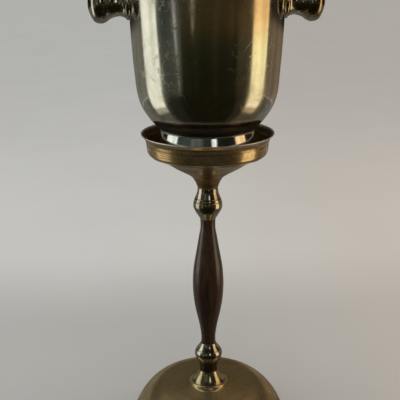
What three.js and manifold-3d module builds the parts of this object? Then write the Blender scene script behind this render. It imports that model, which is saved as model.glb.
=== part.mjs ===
// Champagne bucket on a pedestal stand: a silvered bucket with two turned knobs stands in a
// shallow dish, carried by a turned wooden column between two brass knops on a domed base.
// Millimetres, +Z up. The origin is on the floor, under the column's axis; the knobs lie along X.

import * as THREE from 'three';
import { mergeVertices } from 'three/addons/utils/BufferGeometryUtils.js';
import Module from 'manifold-3d';

const wasm = await Module();
wasm.setup();

// ---- Driving dimensions ----------------------------------------------------------------------

const SHEET = 1.5; // wall of the spun brass parts
const TOUCH_GAP = 0.3; // left between pieces that are cut to fit each other
const BIG_SIDES = 40; // sides of the lathe around bucket, dish and base
const SMALL_SIDES = 20; // sides around column, knops and knobs

// Heights of the joints between the stacked parts, from the floor up
const FELT_TOP = 2;
const DOME_TOP = 78.4;
const CONE_TOP = 95.5;
const KNOP_LENGTH = 46.5;
const COLUMN_BOTTOM = CONE_TOP + KNOP_LENGTH;
const COLUMN_LENGTH = 200.2;
const COLUMN_TOP = COLUMN_BOTTOM + COLUMN_LENGTH;
const FUNNEL_BOTTOM = COLUMN_TOP + KNOP_LENGTH;
const FUNNEL_TOP = 438.8;
const DISH_FLOOR = FUNNEL_TOP + SHEET;
const DISH_RIM = 468.8;
const RING_TOP = 474.9;
const BUCKET_RIM = 682;
const KNOB_HEIGHT = 641.4;

// Base
const BASE_RADIUS = 124;
const DOME_EDGE_BOTTOM = 1;
const EDGE_BEAD = 2.5;
const FELT_RADIUS = 112;
const WEIGHT_RADIUS = 106;
const WEIGHT_HEIGHT = 16;
const WEIGHT_HUB_RADIUS = 20;
const NUT_POCKET_RADIUS = 15;
const NUT_POCKET_TOP = 20;

// Column, knops and the rod that clamps the stack
const CONE_FOOT_RADIUS = 24.9;
const CONE_NECK_RADIUS = 13.8;
const KNOP_WIDE_END = 14.4;
const KNOP_NARROW_END = 11.4;
const LOWER_KNOP_FOOT = 12.5;
const COLUMN_RADIUS = 22.8;
const COLUMN_NECK_RADIUS = 10.7;
const TENON_RADIUS = 8;
const TENON_LENGTH = 8;
const SOCKET_DEPTH = TENON_LENGTH + 0.5;
const ROD_RADIUS = 5;
const ROD_HOLE_RADIUS = 6;
const ROD_BOTTOM = 5;
const ROD_TOP = FUNNEL_BOTTOM + 16;
const BOSS_RADIUS = 12;
const BOSS_LENGTH = 18;
const NUT_ACROSS_CORNERS = 19.6;
const NUT_HEIGHT = 8;
const WASHER_RADIUS = 13;
const WASHER_THICKNESS = 2;
const SPRING_WASHER_RADIUS = 9;

// Dish and the funnel under it
const DISH_LIP_RADIUS = 92.2;
const DISH_FLOOR_RADIUS = 78;
const DISH_CORNER = 6; // radius of the bend between floor and wall
const FUNNEL_RADIUS = 79.4;
const FUNNEL_MOUTH = 70; // radius of the opening at its top

// Bucket
const BUCKET_RIM_RADIUS = 103;
const BUCKET_FLOOR = 470;
const BUCKET_FLOOR_RADIUS = 52;
const RIM_BEAD_RADIUS = 106;
const RIM_BEAD_HEIGHT = 7;
const RING_RADIUS = 64.6;
const RING_FOOT_RADIUS = 72.4;
const RING_WALL = 2.5;

// Knobs and their fastening
const KNOB_END = 155;
const KNOB_RADIUS = 26;
const KNOB_NECK_RADIUS = 17;
const KNOB_START = 106.8;
const FLANGE_RADIUS = 22;
const FLANGE_OUTER = KNOB_START;
const FLANGE_INNER = 96; // before it is cut to the bucket's curve
const SCREW_RADIUS = 3;
const SCREW_HOLE_RADIUS = 3.4;
const SCREW_HEAD_RADIUS = 6;
const SCREW_HEAD_HEIGHT = 3.5;
const SCREW_REACH = 20;
const KNOB_WASHER_RADIUS = 9;
const KNOB_WASHER_THICKNESS = 1.5;
const WASHER_SEAT = 98.9; // where the washer touches the bucket's inside

// ---- Materials ---------------------------------------------------------------------------------

const metal = (color, roughness) => new THREE.MeshStandardMaterial({ color, roughness, metalness: 1 });
const dull = (color, roughness) => new THREE.MeshStandardMaterial({ color, roughness, metalness: 0 });

const LOOK = {
  silver: metal(0xb9b6a8, 0.18),
  brass: metal(0x9a8350, 0.28),
  bronze: metal(0x8a6a3c, 0.3),
  steel: metal(0x9a9a98, 0.4),
  iron: metal(0x3c3c3c, 0.7),
  wood: dull(0x3a2014, 0.35),
  felt: dull(0x1f3a28, 0.95),
};

// ---- Helpers -----------------------------------------------------------------------------------

// A turned piece: the closed outline of [radius, height] points runs up the outside.
function turned(outline, sides) {
  const points = outline.map(([radius, height]) => new THREE.Vector2(radius, height));
  const onAxis = points[0].x === 0 && points[points.length - 1].x === 0;
  if (!onAxis) points.push(points[0].clone());
  const geometry = new THREE.LatheGeometry(points, sides);
  geometry.rotateX(Math.PI / 2);
  return geometry;
}

// A smooth curve through a few [radius, height] points, as a list of such points.
function smooth(through, steps) {
  const curve = new THREE.SplineCurve(through.map(([radius, height]) => new THREE.Vector2(radius, height)));
  return curve.getPoints(steps).map((point) => [point.x, point.y]);
}

// An arc in the outline; angles in degrees, 0 pointing outward and 90 pointing up.
function arc(radius, height, size, from, to, steps) {
  return Array.from({ length: steps + 1 }, (_, step) => {
    const angle = THREE.MathUtils.degToRad(from + ((to - from) * step) / steps);
    return [radius + size * Math.cos(angle), height + size * Math.sin(angle)];
  });
}

// A thin spun wall: the outline, and back along it at a constant distance on the inner side.
function spun(outside, wall) {
  const inside = outside.map((point, index) => {
    const before = outside[Math.max(index - 1, 0)];
    const after = outside[Math.min(index + 1, outside.length - 1)];
    const [alongR, alongZ] = [after[0] - before[0], after[1] - before[1]];
    const length = Math.hypot(alongR, alongZ);
    return [point[0] - (wall * alongZ) / length, point[1] + (wall * alongR) / length];
  });
  return [...outside, ...inside.reverse()];
}

function solidOf(geometry) {
  const bare = geometry.index ? geometry.toNonIndexed() : geometry.clone();
  bare.deleteAttribute('normal');
  bare.deleteAttribute('uv');
  const merged = mergeVertices(bare, 1e-4);
  const vertProperties = new Float32Array(merged.attributes.position.array);
  const corners = Array.from(merged.index.array);
  const triVerts = [];
  for (let i = 0; i < corners.length; i += 3) {
    const [a, b, c] = corners.slice(i, i + 3);
    if (a !== b && b !== c && c !== a) triVerts.push(a, b, c);
  }
  const mesh = new wasm.Mesh({ numProp: 3, vertProperties, triVerts: new Uint32Array(triVerts) });
  return new wasm.Manifold(mesh);
}

function geometryOf(solid) {
  const mesh = solid.getMesh();
  const geometry = new THREE.BufferGeometry();
  geometry.setAttribute('position', new THREE.BufferAttribute(new Float32Array(mesh.vertProperties), 3));
  geometry.setIndex(new THREE.BufferAttribute(new Uint32Array(mesh.triVerts), 1));
  geometry.computeVertexNormals();
  return geometry;
}

function cut(geometry, ...cutters) {
  let solid = solidOf(geometry);
  for (const cutter of cutters) solid = solid.subtract(solidOf(cutter));
  return geometryOf(solid);
}

const stand = new THREE.Group();
const bucket = new THREE.Group();

function add(group, name, geometry, material) {
  const mesh = new THREE.Mesh(geometry, material);
  mesh.name = name;
  group.add(mesh);
  return mesh;
}

// ---- Base --------------------------------------------------------------------------------------

// Baize disc glued under the base; the whole object stands on it.
function feltPad() {
  return turned([[0, 0], [FELT_RADIUS, 0], [FELT_RADIUS, FELT_TOP], [0, FELT_TOP]], BIG_SIDES);
}

// Cast weight with a hub that carries the dome's crown, and a pocket below for the nut.
function baseWeight() {
  const hubTop = DOME_TOP - SHEET;
  return turned([
    [NUT_POCKET_RADIUS, FELT_TOP],
    [WEIGHT_RADIUS, FELT_TOP],
    [WEIGHT_RADIUS, WEIGHT_HEIGHT - 6],
    [WEIGHT_RADIUS - 6, WEIGHT_HEIGHT],
    [WEIGHT_HUB_RADIUS + 8, WEIGHT_HEIGHT],
    [WEIGHT_HUB_RADIUS, WEIGHT_HEIGHT + 8],
    [WEIGHT_HUB_RADIUS, hubTop],
    [ROD_HOLE_RADIUS, hubTop],
    [ROD_HOLE_RADIUS, NUT_POCKET_TOP],
    [NUT_POCKET_RADIUS, NUT_POCKET_TOP],
  ], BIG_SIDES);
}

// Spun dome: nearly flat crown that rises to the cone, full shoulder, steep skirt, rolled edge.
function baseDome() {
  const edgeHeight = DOME_EDGE_BOTTOM + EDGE_BEAD;
  const skirt = smooth([
    [BASE_RADIUS - EDGE_BEAD, edgeHeight + EDGE_BEAD],
    [119.5, 14],
    [116, 25.5],
    [108, 42.5],
    [95, 59],
    [79, 69],
    [60, 71.4],
    [44, 72.1],
    [34, 73.1],
    [29.3, 74.8],
    [CONE_FOOT_RADIUS, DOME_TOP],
  ], 14);
  const sheet = spun([...skirt, [ROD_HOLE_RADIUS, DOME_TOP]], SHEET);
  const bead = arc(BASE_RADIUS - EDGE_BEAD, edgeHeight, EDGE_BEAD, -180, 60, 5);
  return turned([...bead, ...sheet.slice(1, -1)], BIG_SIDES);
}

// Cone between the dome and the lower knop, flaring to a thin foot; it is hollow underneath.
function baseCone() {
  const outside = smooth([
    [CONE_FOOT_RADIUS - 0.4, DOME_TOP + 0.8],
    [21.6, DOME_TOP + 3.4],
    [17.8, DOME_TOP + 8.8],
    [15.2, DOME_TOP + 13.4],
    [CONE_NECK_RADIUS, CONE_TOP],
  ], 7);
  return turned([
    [CONE_FOOT_RADIUS - 4, DOME_TOP],
    [CONE_FOOT_RADIUS - 0.4, DOME_TOP],
    ...outside,
    [ROD_HOLE_RADIUS, CONE_TOP],
    [ROD_HOLE_RADIUS, DOME_TOP + 10],
  ], SMALL_SIDES);
}

// ---- Column and knops --------------------------------------------------------------------------

// Cast knop over the column: narrow end below with a socket for the tenon, round cheek, a bead
// between two grooves and a long flare up to the funnel.
function upperKnop() {
  return turned([
    [TENON_RADIUS + TOUCH_GAP, 0],
    [KNOP_NARROW_END, 0],
    ...smooth([
      [12.9, 2.8],
      [15.3, 6.8],
      [17.9, 10.8],
      [19.8, 14.8],
      [20.8, 18.8],
      [20.7, 22],
      [19.9, 26],
    ], 9),
    [19.2, 26.6],
    [19.4, 27.4],
    [18.2, 31],
    [17.5, 31.5],
    ...smooth([[17.5, 32.2], [16.2, 36.2], [15, 40.8], [KNOP_WIDE_END, KNOP_LENGTH]], 4),
    [ROD_HOLE_RADIUS, KNOP_LENGTH],
    [ROD_HOLE_RADIUS, SOCKET_DEPTH],
    [TENON_RADIUS + TOUCH_GAP, SOCKET_DEPTH],
  ], SMALL_SIDES);
}

// Cast knop under the column: a full bulb that narrows down to the cone, with one groove above its
// widest line, and the tenon's socket in the narrow upper end.
function lowerKnop() {
  const socket = KNOP_LENGTH - SOCKET_DEPTH;
  return turned([
    [ROD_HOLE_RADIUS, 0],
    [LOWER_KNOP_FOOT, 0],
    ...smooth([
      [12.8, 4],
      [13.6, 10],
      [15.4, 15],
      [18, 20],
      [20.1, 24.6],
      [20.8, 28.6],
      [20, 32.6],
      [18.5, 35.4],
    ], 10),
    [17.7, 35.9],
    [17.6, 36.7],
    ...smooth([[17.2, 37.2], [14.8, 40.4], [12.5, 43.8]], 3),
    [KNOP_NARROW_END, KNOP_LENGTH],
    [TENON_RADIUS + TOUCH_GAP, KNOP_LENGTH],
    [TENON_RADIUS + TOUCH_GAP, socket],
    [ROD_HOLE_RADIUS, socket],
  ], SMALL_SIDES);
}

// Turned wooden baluster with a tenon at each end and a bore for the rod.
function woodColumn() {
  const body = smooth([
    [KNOP_NARROW_END - 0.2, 0],
    [COLUMN_NECK_RADIUS, 5],
    [11, 15],
    [13.2, 30],
    [16.6, 46],
    [19.6, 61],
    [21.7, 77],
    [COLUMN_RADIUS, 98],
    [21.6, 121],
    [19.2, 137],
    [16, 155],
    [13, 173],
    [11, 184],
    [COLUMN_NECK_RADIUS, 193],
    [KNOP_NARROW_END - 0.3, COLUMN_LENGTH],
  ], 18);
  return turned([
    [ROD_HOLE_RADIUS, -TENON_LENGTH],
    [TENON_RADIUS, -TENON_LENGTH],
    [TENON_RADIUS, 0],
    ...body,
    [TENON_RADIUS, COLUMN_LENGTH],
    [TENON_RADIUS, COLUMN_LENGTH + TENON_LENGTH],
    [ROD_HOLE_RADIUS, COLUMN_LENGTH + TENON_LENGTH],
  ], SMALL_SIDES);
}

// ---- Rod, nut and washers ----------------------------------------------------------------------

function disc(radius, hole, bottom, top, sides) {
  return turned([[hole, bottom], [radius, bottom], [radius, top], [hole, top]], sides);
}

function tieRod() {
  return turned([
    [0, ROD_BOTTOM],
    [ROD_RADIUS - 1, ROD_BOTTOM],
    [ROD_RADIUS, ROD_BOTTOM + 1],
    [ROD_RADIUS, ROD_TOP - 1],
    [ROD_RADIUS - 1, ROD_TOP],
    [0, ROD_TOP],
  ], SMALL_SIDES);
}

function hexNut() {
  const outline = new THREE.Shape();
  for (let corner = 0; corner < 6; corner += 1) {
    const angle = (corner * Math.PI) / 3;
    const [x, y] = [(Math.cos(angle) * NUT_ACROSS_CORNERS) / 2, (Math.sin(angle) * NUT_ACROSS_CORNERS) / 2];
    if (corner === 0) outline.moveTo(x, y);
    else outline.lineTo(x, y);
  }
  outline.closePath();
  const bore = new THREE.Path();
  bore.absarc(0, 0, ROD_RADIUS + TOUCH_GAP, 0, 2 * Math.PI, true);
  outline.holes.push(bore);
  return new THREE.ExtrudeGeometry(outline, { depth: NUT_HEIGHT, bevelEnabled: false, curveSegments: 10 });
}

// Threaded plug soldered into the funnel's neck; the rod screws into it from below.
function funnelBoss() {
  const rodSocket = ROD_RADIUS + TOUCH_GAP;
  const top = FUNNEL_BOTTOM + BOSS_LENGTH;
  return turned([
    [rodSocket, FUNNEL_BOTTOM],
    [BOSS_RADIUS, FUNNEL_BOTTOM],
    [BOSS_RADIUS, top - 2],
    [BOSS_RADIUS - 2, top],
    [rodSocket, top],
  ], SMALL_SIDES);
}

// ---- Dish --------------------------------------------------------------------------------------

// Trumpet that carries the dish: narrow neck, then an open cone whose edge meets the dish's corner.
function dishFunnel() {
  const outside = smooth([
    [KNOP_WIDE_END, FUNNEL_BOTTOM],
    [17, 396],
    [21.6, 404],
    [26.2, 408],
    [32.4, 412],
    [46.2, 420],
    [58.6, 428],
    [72.4, 435],
  ], 10);
  const sheet = spun(outside, SHEET);
  const outer = sheet.slice(0, outside.length);
  const inner = sheet.slice(outside.length);
  inner[inner.length - 1][1] = FUNNEL_BOTTOM;
  const edge = [[FUNNEL_RADIUS, FUNNEL_TOP - 0.6], [FUNNEL_RADIUS, FUNNEL_TOP]];
  return turned([...outer, ...edge, [FUNNEL_MOUTH, FUNNEL_TOP], ...inner], BIG_SIDES);
}

// Shallow spun dish: flat floor, round corner and a wall that spreads more and more to a thin lip.
function dish() {
  const outside = [
    [0, FUNNEL_TOP],
    [DISH_FLOOR_RADIUS, FUNNEL_TOP],
    ...arc(DISH_FLOOR_RADIUS, FUNNEL_TOP + DISH_CORNER, DISH_CORNER, -72, 0, 4),
    ...smooth([
      [84.7, DISH_RIM - 18.5],
      [85.2, DISH_RIM - 13.8],
      [86, DISH_RIM - 9.8],
      [88, DISH_RIM - 5.7],
      [DISH_LIP_RADIUS, DISH_RIM - 0.9],
    ], 6),
  ];
  const shell = spun(outside, SHEET);
  shell[shell.length - 1][0] = 0;
  return turned(shell, BIG_SIDES);
}

// ---- Bucket ------------------------------------------------------------------------------------

const BUCKET_OUTSIDE = [
  [0, BUCKET_FLOOR],
  [BUCKET_FLOOR_RADIUS, BUCKET_FLOOR],
  ...smooth([
    [60.2, 472.4],
    [70.8, 480.8],
    [81.4, 493],
    [90.3, 508.4],
    [95.2, 526.2],
    [97.5, 550.6],
    [99.6, 580],
    [101.2, 613.5],
    [BUCKET_RIM_RADIUS, BUCKET_RIM - RIM_BEAD_HEIGHT],
  ], 10),
];

// The bucket's outside grown by a distance, closed at the top: a cutter for what fits against it.
function bucketEnvelope(grow) {
  const grown = BUCKET_OUTSIDE.map(([radius, height]) => [radius === 0 ? 0 : radius + grow, height]);
  return turned([...grown, [BUCKET_RIM_RADIUS + grow, BUCKET_RIM], [0, BUCKET_RIM]], BIG_SIDES);
}

function alongX(geometry, side) {
  geometry.rotateY((side * Math.PI) / 2);
  geometry.translate(0, 0, KNOB_HEIGHT);
  return geometry;
}

function bucketBody() {
  const shell = spun(BUCKET_OUTSIDE, SHEET);
  const [outer, inner] = [shell.slice(0, BUCKET_OUTSIDE.length), shell.slice(BUCKET_OUTSIDE.length)];
  inner[inner.length - 1][0] = 0;
  const rim = [[BUCKET_RIM_RADIUS, BUCKET_RIM - 1], [BUCKET_RIM_RADIUS - SHEET, BUCKET_RIM - 1]];
  const body = turned([...outer, ...rim, ...inner], BIG_SIDES);
  const bores = alongX(disc(SCREW_HOLE_RADIUS, 0, -KNOB_END, KNOB_END, 12), 1);
  return cut(body, bores);
}

// Half-round moulding that caps the bucket's rim and laps down its outside.
function rimMoulding() {
  const [outer, inner] = [BUCKET_RIM_RADIUS + 0.4, BUCKET_RIM_RADIUS - SHEET - 1];
  const bottom = BUCKET_RIM - RIM_BEAD_HEIGHT;
  return turned([
    [outer, bottom],
    [RIM_BEAD_RADIUS - 1, bottom + 0.6],
    [RIM_BEAD_RADIUS, bottom + 2.4],
    [RIM_BEAD_RADIUS, BUCKET_RIM - 2],
    [RIM_BEAD_RADIUS - 1.4, BUCKET_RIM],
    [inner + 1, BUCKET_RIM],
    [inner, BUCKET_RIM - 1],
    [outer, BUCKET_RIM - 1],
  ], BIG_SIDES);
}

// Collet foot: an even cone that rounds off at its top to meet the bucket's curve from below.
function footRing() {
  const foot = DISH_FLOOR;
  const outside = smooth([
    [RING_FOOT_RADIUS, foot + 1.6],
    [71.6, foot + 6],
    [69.7, foot + 14],
    [67.2, foot + 24],
    [RING_RADIUS, RING_TOP - 0.8],
  ], 8);
  const sheet = spun(outside, RING_WALL);
  const [outer, inner] = [sheet.slice(0, outside.length), sheet.slice(outside.length + 1)];
  const lip = RING_RADIUS - RING_WALL;
  return turned([
    [RING_FOOT_RADIUS - RING_WALL, foot],
    [RING_FOOT_RADIUS, foot],
    ...outer,
    [RING_RADIUS - 0.5, RING_TOP],
    [lip - 0.4, RING_TOP - 2.4],
    [lip, RING_TOP - 3.4],
    ...inner,
  ], BIG_SIDES);
}

// ---- Knobs -------------------------------------------------------------------------------------

// The knob is drawn from the bucket's axis outward: spool neck, ball, domed end, blind screw hole.
function knob() {
  const screwDepth = KNOB_START + SCREW_REACH;
  return turned([
    [0, screwDepth],
    [SCREW_HOLE_RADIUS, screwDepth],
    [SCREW_HOLE_RADIUS, KNOB_START],
    ...smooth([
      [19, KNOB_START],
      [KNOB_NECK_RADIUS, KNOB_START + 9],
      [19.4, KNOB_START + 18],
      [24.2, KNOB_START + 25.4],
      [KNOB_RADIUS, KNOB_START + 32],
      [24, KNOB_START + 39.4],
      [17, KNOB_END - 4],
      [8, KNOB_END - 0.8],
    ], 11),
    [0, KNOB_END],
  ], SMALL_SIDES);
}

// Round collar between knob and bucket; its inner face is cut to the bucket's curve.
function knobFlange(side) {
  const blank = turned([
    [SCREW_HOLE_RADIUS, FLANGE_INNER],
    [FLANGE_RADIUS, FLANGE_INNER],
    [FLANGE_RADIUS, FLANGE_OUTER - 2.6],
    [FLANGE_RADIUS - 1.6, FLANGE_OUTER - 0.8],
    [FLANGE_RADIUS - 3.4, FLANGE_OUTER - TOUCH_GAP],
    [SCREW_HOLE_RADIUS, FLANGE_OUTER - TOUCH_GAP],
  ], SMALL_SIDES);
  return cut(alongX(blank, side), bucketEnvelope(TOUCH_GAP));
}

function knobWasher() {
  const head = WASHER_SEAT - KNOB_WASHER_THICKNESS;
  return disc(KNOB_WASHER_RADIUS, SCREW_HOLE_RADIUS, head, WASHER_SEAT, SMALL_SIDES);
}

function knobScrew() {
  const seat = WASHER_SEAT - KNOB_WASHER_THICKNESS - TOUCH_GAP;
  return turned([
    [0, seat - SCREW_HEAD_HEIGHT],
    [SCREW_HEAD_RADIUS - 2, seat - SCREW_HEAD_HEIGHT],
    [SCREW_HEAD_RADIUS, seat - SCREW_HEAD_HEIGHT + 1.6],
    [SCREW_HEAD_RADIUS, seat],
    [SCREW_RADIUS, seat],
    [SCREW_RADIUS, KNOB_START + SCREW_REACH - 2],
    [0, KNOB_START + SCREW_REACH - 1],
  ], SMALL_SIDES);
}

// ---- Assembly ----------------------------------------------------------------------------------

add(stand, 'felt_pad', feltPad(), LOOK.felt);
add(stand, 'base_weight', baseWeight(), LOOK.iron);
add(stand, 'base_dome', baseDome(), LOOK.brass);
add(stand, 'base_cone', baseCone(), LOOK.brass);

add(stand, 'lower_knop', lowerKnop(), LOOK.brass).position.z = CONE_TOP;
add(stand, 'wood_column', woodColumn(), LOOK.wood).position.z = COLUMN_BOTTOM;
add(stand, 'upper_knop', upperKnop(), LOOK.brass).position.z = COLUMN_TOP;

const washerBottom = NUT_POCKET_TOP - WASHER_THICKNESS;
const springWasherBottom = washerBottom - WASHER_THICKNESS;
const nutBottom = springWasherBottom - NUT_HEIGHT;
const washerHole = ROD_RADIUS + TOUCH_GAP;
add(stand, 'tie_rod', tieRod(), LOOK.steel);
const rodWasher = disc(WASHER_RADIUS, washerHole, washerBottom, NUT_POCKET_TOP, SMALL_SIDES);
add(stand, 'rod_washer', rodWasher, LOOK.steel);
add(
  stand,
  'rod_spring_washer',
  disc(SPRING_WASHER_RADIUS, washerHole, springWasherBottom, washerBottom, SMALL_SIDES),
  LOOK.steel,
);
add(stand, 'rod_nut', hexNut(), LOOK.steel).position.z = nutBottom;
add(stand, 'funnel_boss', funnelBoss(), LOOK.brass);
add(stand, 'dish_funnel', dishFunnel(), LOOK.brass);
add(stand, 'dish', dish(), LOOK.brass);

add(bucket, 'bucket_body', bucketBody(), LOOK.silver);
add(bucket, 'bucket_rim_moulding', rimMoulding(), LOOK.silver);
add(bucket, 'bucket_foot_ring', footRing(), LOOK.silver);

for (const [hand, side] of [['left', -1], ['right', 1]]) {
  add(bucket, `${hand}_knob_flange`, knobFlange(side), LOOK.bronze);
  add(bucket, `${hand}_knob`, alongX(knob(), side), LOOK.bronze);
  add(bucket, `${hand}_knob_washer`, alongX(knobWasher(), side), LOOK.steel);
  add(bucket, `${hand}_knob_screw`, alongX(knobScrew(), side), LOOK.steel);
}

const model = new THREE.Group();
model.add(stand, bucket);

export default model;
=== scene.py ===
"""Champagne bucket on a pedestal stand: the looks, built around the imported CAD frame.

Outlines are in millimetres, as [radius, height] points of turned pieces, and are placed from the
frame's own boxes. Everything in Blender is in metres.
"""

import math

import bmesh
import bpy
from mathutils import Matrix, Vector, noise

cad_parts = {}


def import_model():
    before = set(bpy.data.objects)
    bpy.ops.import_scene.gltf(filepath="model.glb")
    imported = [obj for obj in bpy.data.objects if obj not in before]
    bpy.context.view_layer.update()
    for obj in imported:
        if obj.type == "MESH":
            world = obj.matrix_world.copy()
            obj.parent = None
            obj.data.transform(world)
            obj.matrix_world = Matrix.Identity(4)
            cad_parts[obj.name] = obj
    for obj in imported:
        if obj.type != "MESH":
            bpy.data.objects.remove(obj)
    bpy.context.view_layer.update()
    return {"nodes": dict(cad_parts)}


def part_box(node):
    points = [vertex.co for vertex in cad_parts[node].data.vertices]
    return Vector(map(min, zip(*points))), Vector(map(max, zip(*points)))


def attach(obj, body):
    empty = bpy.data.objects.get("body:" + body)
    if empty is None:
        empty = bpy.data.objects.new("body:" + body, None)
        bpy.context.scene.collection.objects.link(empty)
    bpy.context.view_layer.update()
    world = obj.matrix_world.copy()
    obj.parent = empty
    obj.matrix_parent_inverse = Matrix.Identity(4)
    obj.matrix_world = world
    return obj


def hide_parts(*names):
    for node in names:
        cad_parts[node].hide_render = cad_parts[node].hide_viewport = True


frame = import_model()

MM = 0.001
STAND = "stand"
BUCKET = "bucket"


# ---- Measures from the frame -------------------------------------------------------------------

def bottom(node):
    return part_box(node)[0].z / MM


def top(node):
    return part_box(node)[1].z / MM


def reach(node):
    """Largest radius of a piece turned about the column's axis."""
    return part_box(node)[1].x / MM


WALL = 1.5  # spun sheet
DISH_RIM = top("dish")
DISH_UNDER = bottom("dish")
BUCKET_RIM = top("bucket_rim_moulding")
BUCKET_FLOOR = bottom("bucket_body")
RING_TOP = top("bucket_foot_ring")
RING_FOOT = bottom("bucket_foot_ring")
KNOB_HEIGHT = (bottom("right_knob") + top("right_knob")) / 2
KNOB_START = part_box("right_knob")[0].x / MM
KNOB_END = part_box("right_knob")[1].x / MM


# ---- Outlines ----------------------------------------------------------------------------------

def curve(through, steps=6):
    """A smooth run of points through the given ones."""
    ends = [through[0], *through, through[-1]]
    run = []
    for before, start, stop, after in zip(ends, ends[1:], ends[2:], ends[3:]):
        for step in range(steps):
            t = step / steps
            point = []
            for axis in (0, 1):
                pull0 = (stop[axis] - before[axis]) / 2
                pull1 = (after[axis] - start[axis]) / 2
                rise = stop[axis] - start[axis]
                cubic = (pull0 + pull1 - 2 * rise) * t ** 3
                square = (3 * rise - 2 * pull0 - pull1) * t ** 2
                point.append(start[axis] + pull0 * t + square + cubic)
            run.append(tuple(point))
    run.append(tuple(through[-1]))
    return run


def arc(radius, height, size, start, stop, steps=8):
    """An arc of the given size about [radius, height]; 0 degrees points outward and 90 up."""
    run = []
    for step in range(steps + 1):
        angle = math.radians(start + (stop - start) * step / steps)
        run.append((radius + size * math.cos(angle), height + size * math.sin(angle)))
    return run


SLIGHT_TURN = math.radians(14)  # corners flatter than this belong to a curve


def rounded(points, size=0.5, closed=True, steps=4):
    """Rounds the sharp corners of an outline, with a support point on the flats beside each."""
    count = len(points)
    run = []
    for index, point in enumerate(points):
        here = Vector(point)
        if not closed and index in (0, count - 1):
            run.append(tuple(here))
            continue
        back = Vector(points[index - 1]) - here
        ahead = Vector(points[(index + 1) % count]) - here
        turn = math.pi - back.angle(ahead) if back.length and ahead.length else 0
        if turn < SLIGHT_TURN:
            run.append(tuple(here))
            continue
        cut = min(size, back.length * 0.4, ahead.length * 0.4)
        enter = here + back.normalized() * cut
        leave = here + ahead.normalized() * cut
        if back.length > 4 * cut:
            run.append(tuple(enter + back.normalized() * cut * 0.8))
        for step in range(steps + 1):
            t = step / steps
            run.append(tuple(enter * (1 - t) ** 2 + here * 2 * t * (1 - t) + leave * t ** 2))
        if ahead.length > 4 * cut:
            run.append(tuple(leave + ahead.normalized() * cut * 0.8))
    return run


def spun(outside, wall=WALL):
    """A wall of even thickness: the outside, then back along its inner face."""
    inside = []
    for index, point in enumerate(outside):
        before = Vector(outside[max(index - 1, 0)])
        after = Vector(outside[min(index + 1, len(outside) - 1)])
        along = (after - before).normalized()
        inside.append((point[0] - wall * along.y, point[1] + wall * along.x))
    return list(outside) + inside[::-1]


# ---- Meshes ------------------------------------------------------------------------------------

def turned(name, outline, sides=160, place=Matrix.Identity(4)):
    """A piece turned from an outline that runs up the outside, in millimetres."""
    on_axis = outline[0][0] < 1e-6 and outline[-1][0] < 1e-6
    rings = []
    shape = bmesh.new()
    for radius, height in outline:
        if radius < 1e-6:
            rings.append([shape.verts.new(place @ Vector((0, 0, height * MM)))])
            continue
        ring = []
        for side in range(sides):
            angle = 2 * math.pi * side / sides
            spot = (radius * MM * math.cos(angle), radius * MM * math.sin(angle), height * MM)
            ring.append(shape.verts.new(place @ Vector(spot)))
        rings.append(ring)
    pairs = list(zip(rings, rings[1:]))
    if not on_axis:
        pairs.append((rings[-1], rings[0]))
    for low, high in pairs:
        for side in range(sides):
            after = (side + 1) % sides
            corners = [low[side % len(low)], low[after % len(low)]]
            corners += [high[after % len(high)], high[side % len(high)]]
            corners = list(dict.fromkeys(corners))
            if len(corners) > 2:
                shape.faces.new(corners)
    return finished(name, shape)


def finished(name, shape, smooth=True):
    """Puts the shape into the scene as an object."""
    mesh = bpy.data.meshes.new(name)
    shape.normal_update()
    shape.to_mesh(mesh)
    shape.free()
    for face in mesh.polygons:
        face.use_smooth = smooth
    piece = bpy.data.objects.new(name, mesh)
    bpy.context.scene.collection.objects.link(piece)
    return piece


def dented(piece, depth, size, seed):
    """Shallow hand-made unevenness, in and out of the surface; depth and size in millimetres."""
    mesh = piece.data
    shift = Vector((seed * 7.3, seed * 3.1, seed * 5.7))
    moved = []
    for vertex in mesh.vertices:
        swell = noise.noise(vertex.co / (size * MM) + shift)
        outward = Vector((vertex.co.x, vertex.co.y, 0))
        if outward.length > 1e-6:
            outward.normalize()
        moved.append(vertex.co + outward * swell * depth * MM)
    for vertex, spot in zip(mesh.vertices, moved):
        vertex.co = spot
    mesh.update()
    return piece


def cut_from(piece, cutter):
    """Cuts the cutter out of the piece and throws the cutter away."""
    tool = piece.modifiers.new("cut", "BOOLEAN")
    tool.operation = "DIFFERENCE"
    tool.solver = "EXACT"
    tool.object = cutter
    bpy.context.view_layer.update()
    mesh = bpy.data.meshes.new_from_object(piece.evaluated_get(bpy.context.evaluated_depsgraph_get()))
    piece.modifiers.clear()
    piece.data = mesh
    bpy.data.objects.remove(cutter)
    return piece


def along_x(side):
    """Turns a piece drawn along Z to lie along X at the knobs' height; side is 1 or -1."""
    return Matrix.Translation((0, 0, KNOB_HEIGHT * MM)) @ Matrix.Rotation(side * math.pi / 2, 4, "Y")


# ---- Materials ---------------------------------------------------------------------------------

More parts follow.
